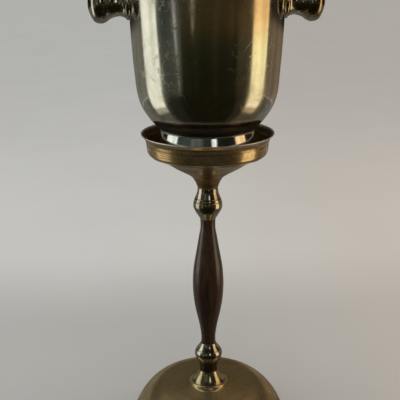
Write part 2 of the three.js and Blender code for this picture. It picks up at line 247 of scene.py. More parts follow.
class Shader:
    """A node material with a Principled shader, and short calls for the nodes that feed it."""

    def __init__(self, name):
        self.material = bpy.data.materials.new(name)
        self.material.use_nodes = True
        self.tree = self.material.node_tree
        self.tree.nodes.clear()
        self.surface = self.node("ShaderNodeBsdfPrincipled")
        output = self.node("ShaderNodeOutputMaterial")
        self.tree.links.new(self.surface.outputs[0], output.inputs["Surface"])
        self.object_space = self.node("ShaderNodeTexCoord").outputs["Object"]

    def node(self, kind, inputs=(), **settings):
        """Adds a node. inputs maps a socket's name or number to a value or to another socket."""
        made = self.tree.nodes.new(kind)
        for key, value in settings.items():
            setattr(made, key, value)
        for key, value in dict(inputs).items():
            if isinstance(value, bpy.types.NodeSocket):
                self.tree.links.new(value, made.inputs[key])
            else:
                made.inputs[key].default_value = value
        return made

    def set(self, **inputs):
        """Values or sockets for the Principled shader; an underscore stands for a space."""
        for key, value in inputs.items():
            socket = self.surface.inputs[key.replace("_", " ")]
            if isinstance(value, bpy.types.NodeSocket):
                self.tree.links.new(value, socket)
            else:
                socket.default_value = value

    def place(self):
        """Sockets of the point's x, y and z, in metres."""
        return self.node("ShaderNodeSeparateXYZ", {0: self.object_space}).outputs

    def stretched(self, scale, turn=(0, 0, 0)):
        """Object space, scaled and turned; turn in degrees."""
        made = self.node("ShaderNodeMapping", {"Vector": self.object_space, "Scale": scale})
        made.inputs["Rotation"].default_value = [math.radians(angle) for angle in turn]
        return made.outputs[0]

    def noise(self, scale, detail=3.0, roughness=0.5, vector=None, distortion=0.0):
        inputs = {"Vector": vector or self.object_space, "Scale": scale, "Detail": detail}
        inputs.update({"Roughness": roughness, "Distortion": distortion})
        return self.node("ShaderNodeTexNoise", inputs).outputs["Fac"]

    def math(self, operation, first, second=0.0):
        made = self.node("ShaderNodeMath", {0: first, 1: second}, operation=operation)
        return made.outputs[0]

    def range(self, value, low, high, to_low=0.0, to_high=1.0):
        """Moves softly from to_low to to_high while the value goes from low to high."""
        inputs = {"Value": value, "From Min": low, "From Max": high}
        inputs.update({"To Min": to_low, "To Max": to_high})
        return self.node("ShaderNodeMapRange", inputs, interpolation_type="SMOOTHSTEP").outputs[0]

    def fade(self, low, high, to_low=0.0, to_high=1.0):
        """Runs from one share to another between two heights, in millimetres."""
        return self.range(self.place()[2], low * MM, high * MM, to_low, to_high)

    def mix(self, share, first, second):
        """Colour between the first, at share 0, and the second, at share 1."""
        made = self.node("ShaderNodeMix", data_type="RGBA")
        for key, value in ((0, share), (6, first), (7, second)):
            if isinstance(value, bpy.types.NodeSocket):
                self.tree.links.new(value, made.inputs[key])
            else:
                made.inputs[key].default_value = value if key == 0 else (*value, 1)
        return made.outputs[2]

    def turned_lines(self, pitch, wander=6.0):
        """Fine lines round the column's axis, as spinning and polishing leave; pitch in mm."""
        x, y, z = self.place()
        squares = self.math("ADD", self.math("MULTIPLY", x, x), self.math("MULTIPLY", y, y))
        along = self.math("ADD", self.math("SQRT", squares), z)
        sway = self.math("MULTIPLY", self.noise(wander, 1.0), 0.004)
        turns = self.math("DIVIDE", self.math("ADD", along, sway), pitch * MM)
        inputs = {"W": turns, "Scale": 1.0, "Detail": 4.0}
        return self.node("ShaderNodeTexNoise", inputs, noise_dimensions="1D").outputs["Fac"]

    def scratches(self, scale, thinness, turn):
        """Sparse hairlines in one direction: the narrow crests of a stretched noise."""
        crest = self.noise(1.0, 2.0, 0.5, self.stretched((scale, scale * 0.9, scale * 0.05), turn))
        line = self.math("ABSOLUTE", self.math("SUBTRACT", crest, 0.5))
        where = self.range(self.noise(scale * 0.05, 2.0), 0.52, 0.66)
        return self.math("MULTIPLY", self.range(line, 0.0, thinness, 1.0, 0.0), where)

    def crossed_scratches(self):
        """Hairlines in two directions."""
        steep = self.scratches(900, 0.012, (12, 24, 0))
        slanting = self.scratches(700, 0.010, (-38, 8, 40))
        return self.math("MAXIMUM", steep, slanting)

    def water_marks(self, scale):
        """Outlines of dried drops: thin contour lines of a noise, here and there."""
        contour = self.math("ABSOLUTE", self.math("SUBTRACT", self.noise(scale, 3.0, 0.55), 0.56))
        where = self.range(self.noise(scale * 0.4, 2.0), 0.54, 0.62)
        return self.math("MULTIPLY", self.range(contour, 0.004, 0.016, 1.0, 0.0), where)

    def bumps(self, *layers):
        """Bump from several (height, strength, distance in mm) layers."""
        normal = None
        for height, strength, distance in layers:
            inputs = {"Height": height, "Strength": strength, "Distance": distance * MM}
            if normal:
                inputs["Normal"] = normal
            normal = self.node("ShaderNodeBump", inputs).outputs[0]
        self.set(Normal=normal)


PAINTED_HIGHLIGHT = (0.92, 0.90, 0.82)
MATT = 0.42  # roughness of tarnish and painted shade, and of painted edge highlights


def aged_metal(name, bright, dull, dark, smoothness, patches, lines=0.7, tarnish_from=0.5, spots=0.64,
               marks=0.0, bands=None, bare=1.0, tarnish_and_shade=None, shade_colour_share=0.3, wear_and_highlight=None):
    """Polished metal that has dulled: broad patches, cloudy stains, dark spots, dried water marks,
    fine turned lines and hairline scratches.

    smoothness is (polished, dulled) roughness. bands is the pitch in millimetres of stain that
    runs round the axis. bare is the metallic share, less than 1 under a film of tarnish. grime
    gives the share, 0 to 1, of painted shade with darker tarnish, on undersides and in hollows,
    whose colour is shade_colour_share of the dark spots'. worn gives the share of a painted highlight, a
    bright satin colour on edges and beads."""
    shader = Shader(name)
    broad = shader.noise(patches, 4.0, 0.55)
    cloudy = shader.noise(patches * 5, 6.0, 0.62, distortion=0.6)
    blend = shader.math("ADD", shader.math("MULTIPLY", broad, 0.65), shader.math("MULTIPLY", cloudy, 0.35))
    if bands:
        band = shader.math("SUBTRACT", shader.turned_lines(bands, 14.0), 0.5)
        blend = shader.math("ADD", blend, shader.math("MULTIPLY", band, 0.55))
    stain = shader.range(blend, tarnish_from - 0.1, tarnish_from + 0.16)
    spot = shader.range(shader.noise(patches * 16, 5.0, 0.6), spots, spots + 0.09)
    mark = shader.math("MULTIPLY", shader.water_marks(patches * 6), marks)
    line = shader.turned_lines(lines)
    hairs = shader.crossed_scratches()
    colour = shader.mix(stain, bright, dull)
    colour = shader.mix(shader.math("MULTIPLY", spot, 0.75), colour, dark)
    colour = shader.mix(shader.math("MULTIPLY", hairs, 0.35), colour, bright)
    colour = shader.mix(shader.math("MULTIPLY", mark, 0.5), colour, dull)
    rough = shader.range(stain, 0.0, 1.0, smoothness[0], smoothness[1])
    rough = shader.math("ADD", rough, shader.math("MULTIPLY", line, 0.05))
    rough = shader.math("ADD", rough, shader.math("MULTIPLY", shader.math("MAXIMUM", spot, hairs), 0.16))
    rough = shader.math("ADD", rough, shader.math("MULTIPLY", mark, 0.22))
    metallic = bare
    # Painted shade with darker tarnish: undersides and hollows turn towards a dark colour, matter and less
    # metallic.
    if tarnish_and_shade:
        tarnish_shade = tarnish_and_shade(shader)
        colour = shader.mix(tarnish_shade, colour, tuple(share * shade_colour_share for share in dark))
        rough = shader.math("MAXIMUM", rough, shader.math("MULTIPLY", tarnish_shade, MATT))
        metallic = shader.range(tarnish_shade, 0.0, 1.0, bare, 0.85)
    # Painted highlight: thin edges and beads turn towards a bright satin colour.
    if wear_and_highlight:
        edge = wear_and_highlight(shader)
        colour = shader.mix(edge, colour, PAINTED_HIGHLIGHT)
        rough = shader.math("MAXIMUM", rough, shader.math("MULTIPLY", edge, MATT))
    shader.set(Base_Color=colour, Metallic=metallic, Roughness=rough)
    shader.bumps((line, 0.10, 0.05), (cloudy, 0.06, 0.10), (hairs, 0.10, -0.03), (spot, 0.12, -0.05))
    return shader.material


def shade_under_bucket(shader):
    """Painted shade, with darker tarnish, on the bucket's underside."""
    return shader.fade(BUCKET_FLOOR + 8, BUCKET_FLOOR + 26, 0.88, 0.0)


def shade_under_knop(shader):
    """Painted shade, with darker tarnish, on the lower knop's underside, down to the base cone."""
    low = bottom("lower_knop")
    above_cone = shader.fade(low - 0.4, low + 0.4)
    under_bulb = shader.fade(low + 17, low + 28, 0.93, 0.0)
    return shader.math("MULTIPLY", above_cone, under_bulb)


def dish_edge_highlights(shader):
    """Painted highlights, in a bright satin colour, on the dish's lip and on the seam between the dish and
    its funnel.
    """
    lip = shader.fade(DISH_RIM - 2.2, DISH_RIM - 1.2)
    seam_from = shader.fade(DISH_UNDER - 1.3, DISH_UNDER - 0.8)
    seam_to = shader.fade(DISH_UNDER - 0.1, DISH_UNDER + 0.3, 0.55, 0.0)
    return shader.math("MAXIMUM", lip, shader.math("MULTIPLY", seam_from, seam_to))


def ring_bead_highlight(shader):
    """Painted highlight, in a bright satin colour, on the bead at the top of the bucket's foot."""
    above_cone = shader.fade(RING_TOP - 1.6, RING_TOP - 0.9)
    below_rim = shader.fade(RING_TOP, RING_TOP + 1, 1.0, 0.0)
    return shader.math("MULTIPLY", above_cone, below_rim)


def shade_inside_dish(shader):
    """Painted shade, with darker tarnish, on the dish's floor and inner wall: faces that look up or
    towards the axis.
    """
    x, y, _ = shader.place()
    normal = shader.node("ShaderNodeNewGeometry").outputs["Normal"]
    facing = shader.node("ShaderNodeSeparateXYZ", {0: normal}).outputs
    across = shader.math("MULTIPLY", x, facing[0])
    outward = shader.math("ADD", across, shader.math("MULTIPLY", y, facing[1]))
    wall = shader.range(outward, -0.020, -0.006, 1.0, 0.0)
    floor = shader.range(facing[2], 0.5, 0.8)
    below_lip = shader.fade(DISH_RIM - 2.5, DISH_RIM - 1, 0.72, 0.0)
    return shader.math("MULTIPLY", shader.math("MAXIMUM", wall, floor), below_lip)


def dark_wood():
    """Stained hardwood turned along the grain, under a satin varnish rubbed thin in places."""
    shader = Shader("varnished_dark_wood")
    figure = shader.noise(1.0, 5.0, 0.6, shader.stretched((95, 95, 5)), 1.2)
    streaks = shader.noise(1.0, 4.0, 0.65, shader.stretched((420, 420, 10)))
    pores = shader.range(shader.noise(1.0, 2.0, 0.5, shader.stretched((1500, 1500, 45))), 0.60, 0.70)
    wear_and_highlight = shader.range(shader.noise(34, 5.0, 0.6), 0.56, 0.72)
    rings = shader.turned_lines(0.8, 2.0)
    colour = shader.mix(shader.range(figure, 0.34, 0.66), (0.016, 0.0065, 0.003), (0.060, 0.022, 0.009))
    colour = shader.mix(shader.range(streaks, 0.45, 0.75, 0.0, 0.55), colour, (0.096, 0.040, 0.016))
    colour = shader.mix(shader.math("MULTIPLY", pores, 0.8), colour, (0.008, 0.004, 0.003))
    colour = shader.mix(shader.math("MULTIPLY", wear_and_highlight, 0.35), colour, (0.150, 0.085, 0.045))
    rough = shader.range(streaks, 0.3, 0.7, 0.34, 0.46)
    rough = shader.math("ADD", rough, shader.math("MULTIPLY", wear_and_highlight, 0.12))
    shader.set(Base_Color=colour, Roughness=rough, Coat_Weight=0.9, Coat_Roughness=0.13, Coat_IOR=1.5)
    shader.bumps((streaks, 0.25, 0.08), (pores, 0.4, -0.12), (rings, 0.12, 0.05))
    return shader.material


def plain_steel():
    """Ground steel with a little rust."""
    shader = Shader("plain_steel")
    grain = shader.noise(1.0, 4.0, 0.6, shader.stretched((900, 900, 300)))
    rust = shader.range(shader.noise(160, 5.0, 0.65), 0.56, 0.74)
    colour = shader.mix(rust, (0.42, 0.41, 0.39), (0.21, 0.12, 0.07))
    shader.set(Base_Color=colour, Metallic=shader.range(rust, 0, 1, 1.0, 0.45))
    shader.set(Roughness=shader.range(grain, 0.3, 0.7, 0.28, 0.5))
    shader.bumps((grain, 0.2, 0.05), (rust, 0.3, 0.08))
    return shader.material


def cast_iron():
    """Rough casting under chipped black paint."""
    shader = Shader("painted_cast_iron")
    lumps = shader.noise(260, 6.0, 0.7)
    chips = shader.range(shader.noise(70, 5.0, 0.6), 0.60, 0.66)
    shader.set(Base_Color=shader.mix(chips, (0.022, 0.022, 0.024), (0.16, 0.075, 0.035)))
    shader.set(Roughness=shader.range(lumps, 0.3, 0.7, 0.5, 0.8))
    shader.bumps((lumps, 0.7, 0.5), (chips, 0.4, -0.2))
    return shader.material


def green_baize():
    """Napped wool cloth, rubbed paler in places."""
    shader = Shader("green_baize")
    nap = shader.noise(1400, 4.0, 0.7)
    tufts = shader.noise(300, 5.0, 0.65)
    wear_and_highlight = shader.range(shader.noise(20, 4.0), 0.45, 0.7)
    colour = shader.mix(nap, (0.010, 0.050, 0.026), (0.035, 0.120, 0.060))
    colour = shader.mix(shader.math("MULTIPLY", wear_and_highlight, 0.5), colour, (0.075, 0.100, 0.065))
    shader.set(Base_Color=colour, Roughness=0.95, Sheen_Weight=0.6, Sheen_Roughness=0.5)
    shader.bumps((tufts, 0.6, 0.35), (nap, 0.5, 0.12))
    return shader.material


LOOKS = {
    "silver_plate": aged_metal(
        "tarnished_silver_plate", bright=(0.76, 0.73, 0.64), dull=(0.54, 0.49, 0.37),
        dark=(0.10, 0.075, 0.05), smoothness=(0.09, 0.18), patches=7.0, lines=1.4,
        spots=0.68, marks=0.8, tarnish_and_shade=shade_under_bucket),
    "clean_silver": aged_metal(
        "bright_silver_plate", bright=(0.84, 0.85, 0.84), dull=(0.62, 0.62, 0.58),
        dark=(0.25, 0.22, 0.18), smoothness=(0.06, 0.12), patches=14.0, lines=1.0,
        tarnish_from=0.54, spots=0.72, wear_and_highlight=ring_bead_highlight),
    "dish_brass": aged_metal(
        "stained_brass", bright=(0.72, 0.54, 0.31), dull=(0.33, 0.19, 0.06),
        dark=(0.09, 0.045, 0.015), smoothness=(0.15, 0.30), patches=9.0, lines=0.8,
        tarnish_from=0.46, spots=0.62, marks=0.7, bands=4.5, bare=0.91,
        tarnish_and_shade=shade_inside_dish, shade_colour_share=0.7, wear_and_highlight=dish_edge_highlights),
    "base_brass": aged_metal(
        "satin_olive_brass", bright=(0.62, 0.48, 0.25), dull=(0.40, 0.29, 0.12),
        dark=(0.12, 0.08, 0.04), smoothness=(0.18, 0.27), patches=9.0,
        tarnish_from=0.48, spots=0.66, bare=0.88),
    "cone_brass": aged_metal(
        "golden_brass", bright=(0.60, 0.49, 0.30), dull=(0.34, 0.25, 0.13),
        dark=(0.06, 0.04, 0.02), smoothness=(0.10, 0.17), patches=22.0,
        tarnish_from=0.52, bare=0.95),
    "bronze": aged_metal(
        "brown_patinated_brass", bright=(0.62, 0.56, 0.46), dull=(0.32, 0.26, 0.17),
        dark=(0.05, 0.035, 0.022), smoothness=(0.09, 0.16), patches=22.0,
        tarnish_from=0.54, tarnish_and_shade=shade_under_knop),
    "dark_wood": dark_wood(),
    "steel": plain_steel(),
    "cast_iron": cast_iron(),
    "baize": green_baize(),
}


# ---- The stand's pieces ------------------------------------------------------------------------

ROD_HOLE = 6.0
TENON = 8.0  # radius and length of the column's round tenons
TENON_HOLE = TENON + 0.3
SOCKET = TENON + 0.5  # depth of the socket that takes a tenon
CONE_LAP = 6.0  # flat of the dome under the cone's foot


def felt_pad():
    """Baize disc glued under the weight."""
    low, high, radius = bottom("felt_pad"), top("felt_pad"), reach("felt_pad")
    outline = [(0, low), (radius, low), (radius, high), (0, high)]
    return turned("baize_disc", rounded(outline, 0.7, closed=False), 120)


def base_dome():
    """Spun dome: rolled foot edge, and a crown that sweeps up to the groove round the cone."""
    radius, crown, foot = reach("base_dome"), top("base_dome"), reach("base_cone")
    bead = 2.5
    edge = bottom("base_dome") + bead
    skirt = curve([
        (radius - bead, edge + bead),
        (119.5, 14),
        (116, 25.5),
        (108, 42.5),
        (95, 59),
        (79, 69),
        (60, 71.4),
        (44, 72.1),
        (34, 72.6),
        (30.4, 73),
        (28.1, 74.5),
        (26.8, 76.5),
        (foot + 0.9, crown - 0.7),
    ], 7)
    groove = [(foot + 0.7, crown - 0.7), (foot + 0.4, crown - 1.2), (foot + 0.1, crown - 0.8)]
    sheet = spun([*skirt, (foot - CONE_LAP, crown), (ROD_HOLE, crown)])
    outer, rest = sheet[1:len(skirt)], sheet[len(skirt):-1]
    rolled_edge = arc(radius - bead, edge, bead, -180, 64, 14)
    return turned("domed_base", [*rolled_edge, *outer, *groove, *rest], 192)


def base_cone():
    """Concave cone that stands on the dome and carries the lower knop."""
    low, high, foot = bottom("base_cone"), top("base_cone"), reach("base_cone")
    outside = curve([
        (foot - 0.1, low + 0.5),
        (21.6, low + 3.4),
        (17.8, low + 8.8),
        (15.2, low + 13.4),
        (13.8, high - 0.2),
    ], 8)
    outline = [
        (foot - 4, low),
        (foot - 0.3, low),
        *outside,
        (13.5, high),
        (ROD_HOLE, high),
        (ROD_HOLE, low + 10),
    ]
    return turned("base_collar_cone", rounded(outline, 0.25), 128)


def upper_knop():
    """Cast knop over the column: round cheek, a bead between two grooves, a long flare up."""
    length = top("upper_knop") - bottom("upper_knop")
    cheek = curve([
        (11.4, 0.3),
        (12.9, 2.8),
        (15.3, 6.8),
        (17.9, 10.8),
        (19.8, 14.8),
        (20.8, 18.8),
        (20.7, 22),
        (20, 26),
    ], 5)
    bead = curve([(19.5, 27.2), (19.3, 28.4), (18.9, 29.8), (18.3, 30.9)], 3)
    flare = curve([(17.8, 32.1), (16.3, 36.2), (15.0, 40.8), (14.5, length - 0.8)], 6)
    outline = [
        (TENON_HOLE, 0),
        (11.2, 0),
        *cheek,
        (19.2, 26.6),
        *bead,
        (17.5, 31.5),
        *flare,
        (14.1, length),
        (ROD_HOLE, length),
        (ROD_HOLE, SOCKET),
        (TENON_HOLE, SOCKET),
    ]
    place = Matrix.Translation((0, 0, bottom("upper_knop") * MM))
    return turned("upper_cast_knop", rounded(outline, 0.2), 128, place)


def lower_knop():
    """Cast knop under the column: a full bulb that narrows downward, one groove in its upper half."""
    length = top("lower_knop") - bottom("lower_knop")
    ball = curve([
        (12.5, 0.6),
        (12.8, 4),
        (13.6, 10),
        (15.4, 15),
        (18, 20),
        (20.1, 24.6),
        (20.8, 28.6),
        (20, 32.6),
        (18.5, 35.5),
    ], 5)
    crown = curve([(17.6, 36.9), (16.7, 38.0), (14.8, 40.4), (12.6, 43.6), (11.5, length - 0.3)], 4)
    outline = [
        (ROD_HOLE, 0),
        (12.1, 0),
        *ball,
        (17.7, 36.1),
        *crown,
        (11.2, length),
        (TENON_HOLE, length),
        (TENON_HOLE, length - SOCKET),
        (ROD_HOLE, length - SOCKET),
    ]
    place = Matrix.Translation((0, 0, bottom("lower_knop") * MM))
    return turned("lower_cast_knop", rounded(outline, 0.2), 128, place)


def wood_column():
    """Slim baluster, fullest at its middle, with a tenon at each end."""
    low, high = bottom("wood_column") + TENON, top("wood_column") - TENON
    length, radius, neck = high - low, reach("wood_column"), 10.7
    body = curve([
        (11.0, 0.3),
        (neck, 5),
        (11, 15),
        (13.2, 30),
        (16.6, 46),
        (19.6, 61),
        (21.7, 77),
        (radius, 98),
        (21.6, 121),
        (19.2, 137),
        (16, 155),
        (13, 173),
        (11, 184),
        (neck, 193),
        (11.0, length - 0.3),
    ], 6)
    outline = [
        (ROD_HOLE, -TENON),
        (TENON, -TENON),
        (TENON, 0),
        (10.6, 0),
        *body,
        (10.6, length),
        (TENON, length),
        (TENON, length + TENON),
        (ROD_HOLE, length + TENON),
    ]
    place = Matrix.Translation((0, 0, low * MM))
    return turned("turned_column", rounded(outline, 0.3), 128, place)


def dish_funnel():
    """Trumpet under the dish: a neck over the upper knop that spreads to a beaded seam."""
    low, high, radius = bottom("dish_funnel"), top("dish_funnel"), reach("dish_funnel")
    outside = curve([
        (14.4, low),
        (17, 396),
        (21.6, 404),
        (26.2, 408),
        (32.4, 412),
        (46.2, 420),
        (58.6, 428),
        (72.4, 435),
        (radius - 1.2, high - 1.4),
    ], 6)
    sheet = spun(outside)
    outer, inner = sheet[:len(outside)], sheet[len(outside):]
    inner[-1] = (inner[-1][0], low)
    bead = arc(radius - 0.5, high - 0.55, 0.5, -100, 90, 8)
    return turned("dish_funnel_trumpet", [*outer, *bead, (70, high), *inner], 176)


def dish():
    """Shallow dish whose wall spreads more and more to a thin rolled lip."""
    under, rim, lip = DISH_UNDER, DISH_RIM, reach("dish")
    flat, corner = 78.0, 6.0
    outside = [
        (0, under),
        (flat * 0.5, under),
        (flat - 3, under),
        *arc(flat, under + corner, corner, -84, -6, 10),
        *curve([
            (flat + corner, under + corner),
            (84.7, rim - 18.5),
            (85.2, rim - 13.8),
            (86, rim - 9.8),
            (88, rim - 5.7),
            (lip - 0.15, rim - 1.3),
        ], 5),
    ]
    sheet = spun(outside)
    outer, inner = sheet[:len(outside)], sheet[len(outside):]
    inner[-1] = (0, inner[-1][1])
    edge = arc(lip - 0.75, rim - 0.85, 0.75, -30, 138, 8)
    return dented(turned("shallow_dish", [*outer, *edge, *inner], 192), 0.25, 42, 2)


# ---- The bucket's pieces -----------------------------------------------------------------------

RIM_LAP = BUCKET_RIM - bottom("bucket_rim_moulding")
BODY_RADIUS = reach("bucket_body")
SCREW_HOLE = 3.4
KNOB_FOOT = 19.4

BUCKET_SIDE = curve([
    (60.2, BUCKET_FLOOR + 2.4),
    (70.8, BUCKET_FLOOR + 10.8),
    (81.4, BUCKET_FLOOR + 23),
    (90.3, BUCKET_FLOOR + 38.4),
    (95.2, BUCKET_FLOOR + 56.2),
    (97.5, BUCKET_FLOOR + 80.6),
    (99.6, BUCKET_FLOOR + 110),
    (101.2, BUCKET_FLOOR + 143.5),
    (BODY_RADIUS, BUCKET_RIM - RIM_LAP),
], 8)


def bucket_body():
    """Spun wall of the bucket, with a round bottom."""
    flat = 52
    outside = [(0, BUCKET_FLOOR), (flat * 0.5, BUCKET_FLOOR), (flat, BUCKET_FLOOR), *BUCKET_SIDE]
    shell = spun(outside)
    outer, inner = shell[:len(outside)], shell[len(outside):]
    inner[-1] = (0, inner[-1][1])
    rim = [(BODY_RADIUS, BUCKET_RIM - 1.2), (BODY_RADIUS - WALL, BUCKET_RIM - 1.2)]
    return dented(turned("spun_bucket", [*outer, *rim, *inner], 224), 0.30, 55, 5)


def rim_moulding():
    """Half-round moulding over the bucket's edge."""
    outer, inner, radius = BODY_RADIUS + 0.4, BODY_RADIUS - WALL - 1, reach("bucket_rim_moulding")
    low = BUCKET_RIM - RIM_LAP
    face = curve([
        (radius - 2.2, low),
        (radius - 0.5, low + 1.1),
        (radius, low + RIM_LAP / 2),
        (radius - 0.6, BUCKET_RIM - 1.2),
        (radius - 2.6, BUCKET_RIM),
    ], 6)
    inside = [(inner + 1.2, BUCKET_RIM), (inner, BUCKET_RIM - 1), (outer, BUCKET_RIM - 1)]
    return turned("rolled_rim", rounded([(outer, low), *face, *inside], 0.4), 192)


def foot_ring():
    """Collet foot: an even cone with a fine bead at its top, under the bucket's curve."""
    foot, neck, wall = reach("bucket_foot_ring"), 64.6, 2.5
    outside = curve([
        (foot, RING_FOOT + 1.6),
        (71.6, RING_FOOT + 6),
        (69.7, RING_FOOT + 14),
        (67.2, RING_FOOT + 24),
        (neck, RING_TOP - 1.6),
    ], 7)
    sheet = spun(outside, wall)
    outer, inner = sheet[:len(outside)], sheet[len(outside) + 1:]
    bead = arc(neck - 0.35, RING_TOP - 0.7, 0.7, -60, 90, 8)
    outline = [
        (foot - wall, RING_FOOT),
        (foot - 0.6, RING_FOOT),
        (foot - 0.1, RING_FOOT + 0.5),
        *outer,
        *bead,
        (neck - wall - 0.2, RING_TOP - 2.4),
        (neck - wall, RING_TOP - 3.4),
        *inner,
    ]
    return turned("collet_foot", outline, 208)


def knob(name, side):
    """Turned handle: spool neck, full ball and domed end, round the axis that runs to the side."""
    start, end, neck, ball = KNOB_START, KNOB_END, 17.0, 26.0
    outside = curve([
        (KNOB_FOOT, start + 0.4),
        (18.0, start + 3.2),
        (neck, start + 9),
        (19.4, start + 18),
        (24.2, start + 25.4),
        (ball, start + 32),
        (24.0, start + 39.4),
        (17.0, end - 4),
        (8.0, end - 0.8),
    ], 7)
    screw_end = start + 20
    hole = [(0, screw_end), (SCREW_HOLE, screw_end), (SCREW_HOLE, start)]
    outline = [*hole, (KNOB_FOOT - 0.4, start), *outside, (0, end)]
    return turned(name, rounded(outline, 0.3, closed=False), 128, along_x(side))


def knob_flange(name, side):
    """Round collar whose inner face follows the bucket's wall."""
    radius, outer = 22.0, KNOB_START - 0.3
    blank_start = 96  # inside the wall, which is then cut away
    outline = [
        (SCREW_HOLE, blank_start),
        (radius, blank_start),
        (radius, outer - 2.8),
        *curve([(radius, outer - 2.4), (radius - 0.7, outer - 1.0), (radius - 2.4, outer - 0.4)], 4),
        (radius - 2.9, outer - 0.9),
        (KNOB_FOOT, outer),
        (SCREW_HOLE, outer),
    ]
    collar = turned(name, rounded(outline, 0.2), 96, along_x(side))
    grown = [(out + 0.35, height) for out, height in BUCKET_SIDE]
    wall = turned("wall_cutter", [(0, BUCKET_FLOOR), *grown, (0, BUCKET_RIM)], 144)
    return cut_from(collar, wall)


def knob_screw(name, side):
    """Cheese-head screw with a slot, seen inside the bucket."""
    node = "right_knob_screw"
    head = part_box(node)[0].x / MM
    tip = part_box(node)[1].x / MM
    seat = head + 3.5
    outline = [
        (0, head),
        *curve([(2.0, head), (4.4, head + 0.4), (5.7, head + 1.5)], 4),
        (6.0, seat - 1.2),
        (6.0, seat),
        (3.0, seat),
        (3.0, tip - 1),
        (0, tip),
    ]
    screw = turned(name, rounded(outline, 0.2, closed=False), 64, along_x(side))
    shape = bmesh.new()
    bmesh.ops.create_cube(shape, size=1.0)
    blade = finished("slot_cutter", shape)
    blade.scale = (2.6 * MM, 14 * MM, 1.3 * MM)
    blade.location = (side * head * MM, 0, KNOB_HEIGHT * MM)
    blade.rotation_euler = (math.radians(35 * side), 0, 0)
    return cut_from(screw, blade)


# ---- Putting the pieces on the frame -----------------------------------------------------------

def fit(piece, node, body, look, finish=None):
    """The piece stands for a CAD node, rides on its body and takes its finish."""
    piece.data.materials.clear()
    piece.data.materials.append(LOOKS[finish or look])
    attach(piece, body)
    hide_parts(node)


fit(felt_pad(), "felt_pad", STAND, "baize")
fit(base_dome(), "base_dome", STAND, "aged_brass", "base_brass")
fit(base_cone(), "base_cone", STAND, "aged_brass", "cone_brass")
fit(lower_knop(), "lower_knop", STAND, "aged_brass", "bronze")
fit(wood_column(), "wood_column", STAND, "dark_wood")
fit(upper_knop(), "upper_knop", STAND, "aged_brass", "bronze")
fit(dish_funnel(), "dish_funnel", STAND, "aged_brass", "dish_brass")
fit(dish(), "dish", STAND, "aged_brass", "dish_brass")
fit(bucket_body(), "bucket_body", BUCKET, "silver_plate")
fit(rim_moulding(), "bucket_rim_moulding", BUCKET, "silver_plate", "clean_silver")
fit(foot_ring(), "bucket_foot_ring", BUCKET, "silver_plate", "clean_silver")
for hand, side in (("left", -1), ("right", 1)):
    fit(knob(f"{hand}_turned_knob", side), f"{hand}_knob", BUCKET, "bronze")
    fit(knob_flange(f"{hand}_collar", side), f"{hand}_knob_flange", BUCKET, "bronze")
    fit(knob_screw(f"{hand}_slotted_screw", side), f"{hand}_knob_screw", BUCKET, "steel")

KEPT = {
    "steel": (
        "tie_rod",
        "rod_washer",
        "rod_spring_washer",
        "rod_nut",
        "left_knob_washer",
        "right_knob_washer",
    ),
    "cast_iron": ("base_weight",),
    "dish_brass": ("funnel_boss",),
}
for look, nodes in KEPT.items():
    for node in nodes:
        frame["nodes"][node].data.materials.clear()
        frame["nodes"][node].data.materials.append(LOOKS[look])


# ---- Studio ------------------------------------------------------------------------------------

# The camera stands this far from the column's axis and this high above the floor, a little to the
# left of square on, looking down.
CAMERA_DISTANCE = 0.950
CAMERA_HEIGHT = 0.678
CAMERA_AZIMUTH = -4.0
CAMERA_PITCH = -18.0
CAMERA_AIM_LEFT = 0.672
CAMERA_ROLL = -0.45
LENS = 63.0


def camera():
    """The photographer's place and lens."""
    data = bpy.data.cameras.new("camera")
    data.lens = LENS
    eye = bpy.data.objects.new("camera", data)
    bpy.context.scene.collection.objects.link(eye)
    azimuth = math.radians(CAMERA_AZIMUTH)
    spot = Vector((math.sin(azimuth), -math.cos(azimuth), 0)) * CAMERA_DISTANCE
    heading = Matrix.Rotation(azimuth + math.radians(CAMERA_AIM_LEFT), 4, "Z")
    tilt = Matrix.Rotation(math.radians(90 + CAMERA_PITCH), 4, "X")
    roll = Matrix.Rotation(math.radians(CAMERA_ROLL), 4, "Z")
    eye.matrix_world = Matrix.Translation(spot + Vector((0, 0, CAMERA_HEIGHT))) @ heading @ tilt @ roll
    bpy.context.scene.camera = eye


BRIGHTEST = 1.4  # the ramp in glow() holds a colour as its share of this


def glow(name, stops, span):
    """Light that changes with height. stops are (height in metres, colour) pairs, lowest first."""
    shader = Shader(name)
    tree = shader.tree
    tree.nodes.remove(shader.surface)
    inputs = {"Value": shader.place()[2], "From Min": span[0], "From Max": span[1]}
    share_up = shader.node("ShaderNodeMapRange", inputs).outputs[0]
    ramp = shader.node("ShaderNodeValToRGB", {0: share_up})
    ramp.color_ramp.interpolation = "EASE"
    while len(ramp.color_ramp.elements) < len(stops):
        ramp.color_ramp.elements.new(0.5)
    for element, (height, colour) in zip(ramp.color_ramp.elements, stops):
        element.position = (height - span[0]) / (span[1] - span[0])
        element.color = (*[share / BRIGHTEST for share in colour], 1)
    streaks = shader.noise(1.0, 3.0, 0.5, shader.stretched((5, 5, 1.2)))
    strength = shader.range(streaks, 0.3, 0.7, 0.75 * BRIGHTEST, 1.25 * BRIGHTEST)
    light = shader.node("ShaderNodeEmission", {"Color": ramp.outputs[0], "Strength": strength})
    output = next(node for node in tree.nodes if node.type == "OUTPUT_MATERIAL")
    tree.links.new(light.outputs[0], output.inputs["Surface"])
    return shader.material


